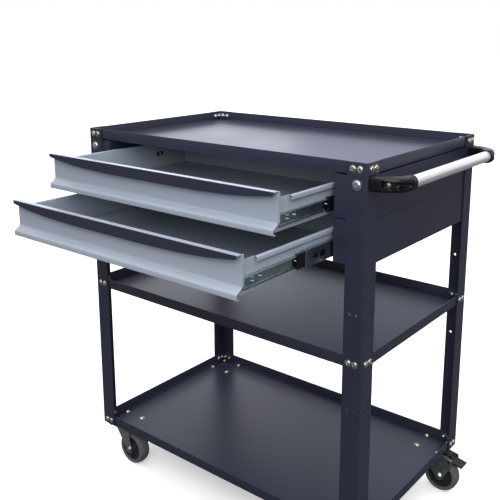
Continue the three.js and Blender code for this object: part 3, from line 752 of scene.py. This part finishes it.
# ---------------------------------------------------------------- telescopic slides
# Ball slides rolled from zinc-plated strip. The inner member is a channel on the drawer's wall, and
# the middle one a flatter channel with a stop lip on its end and two black pads in its web: painted
# shade that stands for the dark inside of two holes there. Their edges are rolled round balls.
SLIDE_SHEET = 1.2 * MM
EDGE_ROLL = 1.6 * MM  # how far a channel's rolled edge turns in
EDGE_LEAN = 0.6 * MM
CHANNEL_BENDS = [0.5 * MM, 2.2 * MM, 2.2 * MM, 0.5 * MM]
STUD = [[2.2 * MM, 0], [2.2 * MM, 2.2 * MM], [1.4 * MM, 3 * MM]]  # radius and height of a pressed stud
STUD_BEHIND = 32 * MM
STUD_SPREAD = 3 * MM
RIVET_BEHIND = 52 * MM
RIVET_PITCH = 96 * MM
STOP_LIP = 0.9 * MM
STOP_BEHIND = 1.5 * MM
STOP_SHORT = 1 * MM
STOP_ROOT = 0.5 * MM  # how deep it stands in the web
STOP_CORNER = 0.5 * MM
# black pads where the middle member's web has holes; their black is painted shade for the holes' insides
HOLE_SHADE_PADS = ((30.5 * MM, 6.5 * MM, 5.0 * MM), (52 * MM, 8.7 * MM, 6.0 * MM))  # behind the end, half sizes
HOLE_PAD_CORNER = 4 * MM
HOLE_PAD_PROUD = 0.2 * MM
slide_zinc = plated_steel("zinc_plate_blue_chromate", "acbac0", 0.27, "92a1a9", 30 * MM)
stud = turned(STUD, 16)
for level, face_y in face_ys.items():
    for end, mx in ENDS.items():
        node = f"slide_inner_{level}_{end}"
        low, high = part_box(node)
        web_x = low.x if mx > 0 else high.x
        tip_x = high.x if mx > 0 else low.x
        channel = rounded_line([
            (tip_x, low.z + EDGE_ROLL),
            (tip_x - mx * EDGE_LEAN, low.z),
            (web_x, low.z),
            (web_x, high.z),
            (tip_x - mx * EDGE_LEAN, high.z),
            (tip_x, high.z - EDGE_ROLL),
        ], CHANNEL_BENDS)
        shapes = [swept(sheet_section(channel, mx * SLIDE_SHEET), 1, low.y, high.y)]
        face_x = web_x + mx * SLIDE_SHEET
        middle_z = (low.z + high.z) / 2
        for behind, above in ((STUD_BEHIND, STUD_SPREAD), (STUD_BEHIND, -STUD_SPREAD),
                              (RIVET_BEHIND, 0), (RIVET_BEHIND + RIVET_PITCH, 0)):
            shapes.append(placed(stud, (face_x, face_y + behind, middle_z + above), (mx, 0, 0)))
        make_piece(f"{node}_channel", join(*shapes), slide_zinc, f"drawer_{level}", [node],
                   edge=0.2 * MM)
for level in LEVELS:
    for end, mx in ENDS.items():
        for member in ("outer", "middle"):
            finish_node(f"slide_{member}_{level}_{end}", slide_zinc)
        low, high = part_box(f"slide_middle_{level}_{end}")
        web_x = high.x if mx > 0 else low.x
        middle_z = (low.z + high.z) / 2
        runner = f"runner_{level}"
        pads = []
        # black pads over the web's holes: painted shade standing for the dark inside of each hole
        for behind, half_y, half_z in HOLE_SHADE_PADS:
            pad = rounded_rectangle(half_y, half_z, HOLE_PAD_CORNER) + (low.y + behind, middle_z)
            pads.append(swept(pad, 0, web_x - mx * SLIDE_SHEET, web_x + mx * HOLE_PAD_PROUD))
        make_piece(f"slide_hole_shade_pads_{level}_{end}", join(*pads), black_nylon, runner)
        half_z = (high.z - low.z) / 2 - STOP_SHORT
        outline = rounded_rectangle(STOP_LIP, half_z, STOP_CORNER) + (low.y + STOP_BEHIND, middle_z)
        stop = swept(outline, 0, web_x - mx * STOP_ROOT, web_x + mx * STOP_LIP)
        make_piece(f"slide_stop_{level}_{end}", stop, bright_zinc, runner, edge=0.2 * MM)

# ---------------------------------------------------------------- ball cages
# Black moulded nylon cages hold two rows of steel balls between the members. They run at half the
# drawer's speed and show as a black collar ahead of the middle member.
BALL_RADIUS = 2.0 * MM
BALL_PITCH = 8.0 * MM
BALL_INSIDE = 2.2 * MM  # from the cage's inner side to a ball's middle
BALL_FROM_EDGE = 1.4 * MM
ball_turn = np.linspace(-np.pi / 2, np.pi / 2, 9)
ball = turned(BALL_RADIUS * np.stack([np.cos(ball_turn).clip(0.05), np.sin(ball_turn)], -1), 12)
for level in LEVELS:
    for end, mx in ENDS.items():
        node = f"ball_cage_{level}_{end}"
        finish_node(node, black_nylon)
        low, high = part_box(node)
        x = low.x + BALL_INSIDE if mx > 0 else high.x - BALL_INSIDE
        count = int((high.y - low.y) / BALL_PITCH)
        balls = [
            placed(ball, (x, low.y + (i + 0.5) * BALL_PITCH, z), (0, 0, 1))
            for i in range(count)
            for z in (low.z + BALL_FROM_EDGE, high.z - BALL_FROM_EDGE)
        ]
        make_piece(f"slide_balls_{level}_{end}", join(*balls), bright_zinc, f"ball_cages_{level}")

# ---------------------------------------------------------------- push handle
# A satin anodised aluminium tube, drawn to size and brushed along its length. Its ends are pressed
# into the collars of the two elbows.
TUBE_WALL = 1.5 * MM
LINE_WIDTH = 1.11 * MM  # the drawn lines, coarser than real ones so that they show
LINE_LENGTH = 167 * MM
LINE_TONE = (0.94, 1.04)
LINE_GLOSS = (-0.08, 0.1)


def anodised_aluminium(name, hex_colour, roughness):
    """Drawn, brushed and anodised aluminium: a pale metal with faint lines along its length."""
    material = bpy.data.materials.new(name)
    material.use_nodes = True
    tree = material.node_tree
    shader = tree.nodes["Principled BSDF"]
    shader.inputs["Metallic"].default_value = 1.0
    place = add_node(tree, "ShaderNodeTexCoord").outputs["Object"]
    stretched = add_node(tree, "ShaderNodeMapping", {
        "Vector": place, "Scale": (1 / LINE_WIDTH, 1 / LINE_LENGTH, 1 / LINE_WIDTH),
    })
    lines = add_node(tree, "ShaderNodeTexNoise", {
        "Vector": stretched.outputs[0], "Scale": 1.0, "Detail": 2.0,
    })
    shine = add_node(tree, "ShaderNodeMapRange", {
        "Value": lines.outputs["Fac"],
        "To Min": roughness + LINE_GLOSS[0],
        "To Max": roughness + LINE_GLOSS[1],
    })
    colour = np.array(linear(hex_colour))
    tone = add_node(tree, "ShaderNodeMix", {
        "Factor": lines.outputs["Fac"],
        6: tuple(colour * LINE_TONE[0]),
        7: tuple(np.minimum(colour * LINE_TONE[1], 1)),
    }, data_type="RGBA")
    tree.links.new(tone.outputs[2], shader.inputs["Base Color"])
    tree.links.new(shine.outputs["Result"], shader.inputs["Roughness"])
    return material


def looped_rings(rings):
    """A shape through rings of points whose last ring joins the first, as the wall of a tube does."""
    rows, columns = rings.shape[:2]
    faces = np.array(grid_faces(rows + 1, columns)) % (rows * columns)
    return rings.reshape(-1, 3), faces.tolist()


def turned_loop(profile, sides):
    """A hollow solid turned about Z from a closed (radius, height) profile."""
    points, _ = turned(profile, sides)
    return looped_rings(points.reshape(len(profile), sides, 3))


aluminium = anodised_aluminium("anodised_aluminium_satin", "f6f6f4", 0.5)
low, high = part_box("handle_tube")
tube_centre = (low + high) / 2
radius = (high.x - low.x) / 2
length = high.y - low.y
tube_wall = turned_loop([
    [radius - TUBE_WALL, 0], [radius, 0], [radius, length], [radius - TUBE_WALL, length],
], 96)
grip = placed(tube_wall, (tube_centre.x, low.y, tube_centre.z), (0, 1, 0))
make_piece("handle_grip_tube", grip, aluminium, "frame", ["handle_tube"])

# ---------------------------------------------------------------- handle elbows
# Two satin black elbows moulded from nylon carry the tube. Each is square on its post, where one
# screw in a sunk pocket holds it, and round at the collar that takes the tube's end.
ELBOW_ROUND_Y = 34.0 * MM  # how far the elbow's curve runs along the post's side
ELBOW_STRAIGHT = 8.5 * MM
CURVE_SHARE = 0.85
ELBOW_BASE = (14.5 * MM, 13.8 * MM, 5.0)  # half width, half height and squareness on the post
ELBOW_COLLAR = (13.0 * MM, 13.0 * MM, 2.5)
COLLAR_LIP = 0.6 * MM
COLLAR_LIP_SHARE = (0.937, 0.988)  # where along the elbow the lip begins and ends
COLLAR_CLOSED = 0.8  # how far the collar's end face draws in
POCKET = {"from": 0.2, "to": 0.8, "half_height": 7.0 * MM, "tip_height": 2.5 * MM, "depth": 8.0 * MM}
POCKET_WALL = 0.015  # half the share of the elbow over which the pocket's near wall drops
POCKET_RAMP = 0.25  # the share over which its floor rises again
POCKET_EDGE = 0.8 * MM
POCKET_SCREW_AT = 0.31
POCKET_SCREW_SUNK = 0.4 * MM
POCKET_SCREW_RADIUS = 3.8 * MM
POCKET_SCREW_HEIGHT = 2.2 * MM
POCKET_CROSS = (2.2 * MM, 1.2 * MM)  # size and depth


def eased(value, start, end):
    """A smooth step from 0 at start to 1 at end."""
    share = np.clip((value - start) / (end - start), 0, 1)
    return share * share * (3 - 2 * share)


def elbow_line(share, reach):
    """Centre and heading along the elbow: a quarter ellipse away from the post, then straight."""
    heading = np.minimum(share / CURVE_SHARE, 1) * np.pi / 2
    straight = np.clip((share - CURVE_SHARE) / (1 - CURVE_SHARE), 0, 1)
    return reach * np.sin(heading), ELBOW_STRAIGHT * straight - ELBOW_ROUND_Y * np.cos(heading), heading


def elbow_shape(post_x, turn_y, z, reach, mirror):
    """Superellipse sections carried along the elbow, square on the post and round at the collar,
    with a pocket pushed into the outer side and a thin lip round the collar's mouth."""
    lip_ends = [0.935, 0.94, 0.985, 0.99]
    share = np.concatenate([np.linspace(0, 0.93, 60), lip_ends, [1.0, 1.0]])[:, None]
    angle = np.linspace(0, 2 * np.pi, 96, endpoint=False)[None, :]
    width, height, squareness = (a + (b - a) * share for a, b in zip(ELBOW_BASE, ELBOW_COLLAR))
    lip = COLLAR_LIP * (share > COLLAR_LIP_SHARE[0]) * (share < COLLAR_LIP_SHARE[1])
    power = 2 / squareness
    across = (width + lip) * np.sign(np.cos(angle)) * np.abs(np.cos(angle)) ** power
    up = (height + lip) * np.sign(np.sin(angle)) * np.abs(np.sin(angle)) ** power
    reached = eased(share, POCKET["from"], POCKET["to"])
    opening = POCKET["half_height"] + (POCKET["tip_height"] - POCKET["half_height"]) * reached
    inside = (eased(share, POCKET["from"] - POCKET_WALL, POCKET["from"] + POCKET_WALL)
              * (1 - eased(share, POCKET["to"] - POCKET_RAMP, POCKET["to"]))
              * (1 - eased(np.abs(up), opening - POCKET_EDGE, opening + POCKET_EDGE)) * (across > 0))
    across = across - POCKET["depth"] * inside
    across[-1] *= COLLAR_CLOSED
    up[-1] *= COLLAR_CLOSED
    x, y, heading = elbow_line(share, reach)
    points = np.stack([
        post_x + x + across * np.sin(heading),
        turn_y + mirror * (y - across * np.cos(heading)),
        z + up,
    ], -1)
    return capped_rings(points)


black_elbow_nylon = moulded_plastic("moulded_nylon_satin_black", "0b0b0d", 0.34, 1.6 * MM, 0.02 * MM)
elbow_screw = domed_head(POCKET_SCREW_RADIUS, POCKET_SCREW_HEIGHT, cross_recess, *POCKET_CROSS)
for side, my in SIDES.items():
    node = f"handle_bracket_{side}"
    low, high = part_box(node)
    post_x = low.x
    reach = tube_centre.x - post_x
    foot_y = low.y + ELBOW_BASE[0] if my < 0 else high.y - ELBOW_BASE[0]
    turn_y = foot_y - my * ELBOW_ROUND_Y
    elbow = elbow_shape(post_x, turn_y, tube_centre.z, reach, -my)
    make_piece(f"{node}_elbow", elbow, black_elbow_nylon, "frame", [node],
               smooth_angle=50)
    x, y, heading = elbow_line(np.array(POCKET_SCREW_AT), reach)
    out = np.array([np.sin(heading), my * np.cos(heading), 0])
    floor_out = ELBOW_BASE[0] - POCKET["depth"] - POCKET_SCREW_SUNK
    seat = np.array([post_x + x, turn_y - my * y, tube_centre.z]) + out * floor_out
    make_piece(f"handle_screw_{side}", placed(elbow_screw, seat, out), bright_zinc, "frame")

# ---------------------------------------------------------------- casters
# Swivel casters with pressed zinc forks, grey rubber treads moulded on polypropylene cores and a
# plated axle bolt. Four flange screws hold each plate up against the bottom tray's floor.
PLATE_HOLE = 26.5 * MM  # from the swivel axis, along both sides of the plate
SCREW_TURN = 40  # radians per metre, so that no two screws are turned alike
TRAIL = 28 * MM
AXLE_Z = 40 * MM
PLATE_SHEET = 3 * MM
CROWN_RADIUS = 25 * MM
CROWN_BOTTOM = 89.8 * MM
LEG_SHEET = 2.4 * MM
LEG_INSIDE = 17 * MM
LEG_BACK = -19 * MM
LEG_TOP = 94.8 * MM
LEG_FOOT_RADIUS = 10 * MM
EAR_X = TRAIL + 30 * MM
EAR_HEIGHTS = (76 * MM, 90 * MM)
TREAD_RADIUS = 40 * MM
TREAD_INSIDE = 30 * MM
TREAD_HALF = 14 * MM
HUB_RADIUS = 11 * MM
HUB_HALF = 15.5 * MM
BORE_RADIUS = 4.3 * MM
WEB_HALF = 3 * MM
RIBS = 8


def tread_profile():
    """The tread's section: a shallow crown on rounded shoulders, with a lip round the core."""
    crown = np.linspace(-1, 1, 13)
    radius = TREAD_RADIUS - 3.2 * MM * np.abs(crown) ** 3
    outside = np.stack([radius, crown * (TREAD_HALF - 0.6 * MM)], -1)
    return np.concatenate([
        [[TREAD_INSIDE, -TREAD_HALF + 1 * MM], [TREAD_INSIDE + 1 * MM, -TREAD_HALF]],
        [[TREAD_RADIUS - 5 * MM, -TREAD_HALF]],
        outside,
        [[TREAD_RADIUS - 5 * MM, TREAD_HALF]],
        [[TREAD_INSIDE + 1 * MM, TREAD_HALF], [TREAD_INSIDE, TREAD_HALF - 1 * MM]],
    ])


def core_profile():
    """The core's section: a hub, a thin web and a flange under the tread."""
    half = [
        [BORE_RADIUS, HUB_HALF], [HUB_RADIUS - 0.6 * MM, HUB_HALF], [HUB_RADIUS, HUB_HALF - 0.6 * MM],
        [HUB_RADIUS + 0.8 * MM, WEB_HALF], [TREAD_INSIDE - 4 * MM, WEB_HALF],
        [TREAD_INSIDE - 3.4 * MM, TREAD_HALF - 2 * MM], [TREAD_INSIDE + 0.2 * MM, TREAD_HALF - 2 * MM],
    ]
    return np.array(half + [[r, -h] for r, h in half[::-1]])


def rib_shapes():
    """Ribs from the hub to the core's flange, on both faces of the web."""
    rib = rounded_line([
        (HUB_RADIUS - 1 * MM, -TREAD_HALF + 3 * MM), (TREAD_INSIDE - 3 * MM, -TREAD_HALF + 3 * MM),
        (TREAD_INSIDE - 3 * MM, TREAD_HALF - 3 * MM), (HUB_RADIUS - 1 * MM, TREAD_HALF - 3 * MM),
    ], [0.1 * MM, 0.1 * MM], 1)
    points, faces = swept(rib, 1, -0.9 * MM, 0.9 * MM)
    turns = [2 * np.pi * i / RIBS for i in range(RIBS)]
    return [(points @ np.array([[np.cos(t), np.sin(t), 0], [-np.sin(t), np.cos(t), 0], [0, 0, 1]]), faces)
            for t in turns]


def leg_outline(braked):
    """The side of a fork leg in XZ round the swivel axis: wide under the crown, narrow and round
    at the axle, with an ear for the brake pedal where there is one."""
    turn = np.radians(np.linspace(200, 340, 15))
    foot = (TRAIL, AXLE_Z) + LEG_FOOT_RADIUS * np.stack([np.cos(turn), np.sin(turn)], -1)
    ear = [(EAR_X, z) for z in EAR_HEIGHTS] if braked else []
    return np.array([
        (LEG_BACK, CROWN_BOTTOM), *foot, *ear, (CROWN_RADIUS, LEG_TOP), (LEG_BACK, LEG_TOP),
    ])


# The rubber is matt with a coarse grain. The polypropylene is smoother and shines a little.
rubber = moulded_plastic("thermoplastic_rubber_grey", "5a5c60", 0.75, 1.5 * MM, 0.04 * MM)
polypropylene = moulded_plastic("moulded_polypropylene_dark_grey", "2b2d31", 0.5, 1.2 * MM, 0.02 * MM)
crown = turned([
    [7 * MM, CROWN_BOTTOM], [CROWN_RADIUS - 5 * MM, CROWN_BOTTOM], [CROWN_RADIUS - 1 * MM, 91 * MM],
    [CROWN_RADIUS, 92.5 * MM], [CROWN_RADIUS, 94.6 * MM], [CROWN_RADIUS - 1.2 * MM, 95.6 * MM],
    [CROWN_RADIUS - 2.4 * MM, 96 * MM], [CROWN_RADIUS - 2.4 * MM, 97.2 * MM],
    [CROWN_RADIUS - 3.4 * MM, 97.8 * MM], [7 * MM, 97.8 * MM],
], 64)
tread = turned_loop(tread_profile(), 96)
core = join(turned_loop(core_profile(), 64), *rib_shapes())
shelf_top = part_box("bottom_shelf")[0].z + TRAY_SHEET
for corner, mx, my in CORNERS:
    low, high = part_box(f"caster_plate_{corner}")
    pivot_x, pivot_y = (low.x + high.x) / 2, (low.y + high.y) / 2
    under_plate = high.z - PLATE_SHEET
    screws, nuts = [], []
    for ox in (-PLATE_HOLE, PLATE_HOLE):
        for oy in (-PLATE_HOLE, PLATE_HOLE):
            turn = SCREW_TURN * (ox + 2 * oy)
            screws.append(placed(screw, (pivot_x + ox, pivot_y + oy, shelf_top), (0, 0, 1), turn))
            nuts.append(placed(nut, (pivot_x + ox, pivot_y + oy, under_plate), (0, 0, -1), turn))
    make_piece(f"caster_screws_{corner}", join(*screws), yellow_zinc, "frame")
    make_piece(f"caster_nuts_{corner}", join(*nuts), bright_zinc, "frame")
    finish_node(f"caster_plate_{corner}", bright_zinc)
    finish_node(f"caster_axle_{corner}", bright_zinc)
    swivel = f"caster_{corner}"
    outline = leg_outline(mx > 0)
    legs = [swept(outline, 1, y, y + LEG_SHEET) for y in (-LEG_INSIDE - LEG_SHEET, LEG_INSIDE)]
    points, faces = join(crown, *legs)
    fork = (points + (pivot_x, pivot_y, 0), faces)
    make_piece(f"caster_fork_{corner}_pressing", fork, bright_zinc, swivel,
               [f"caster_fork_{corner}"], edge=0.4 * MM)
    hub = (pivot_x + TRAIL, pivot_y, AXLE_Z)
    make_piece(f"caster_tread_{corner}", placed(tread, hub, (0, 1, 0)), rubber, f"wheel_{corner}",
               [f"caster_wheel_{corner}"])
    make_piece(f"caster_core_{corner}", placed(core, hub, (0, 1, 0)), polypropylene, f"wheel_{corner}")
    if mx > 0:
        finish_node(f"brake_pedal_{corner}", black_elbow_nylon)
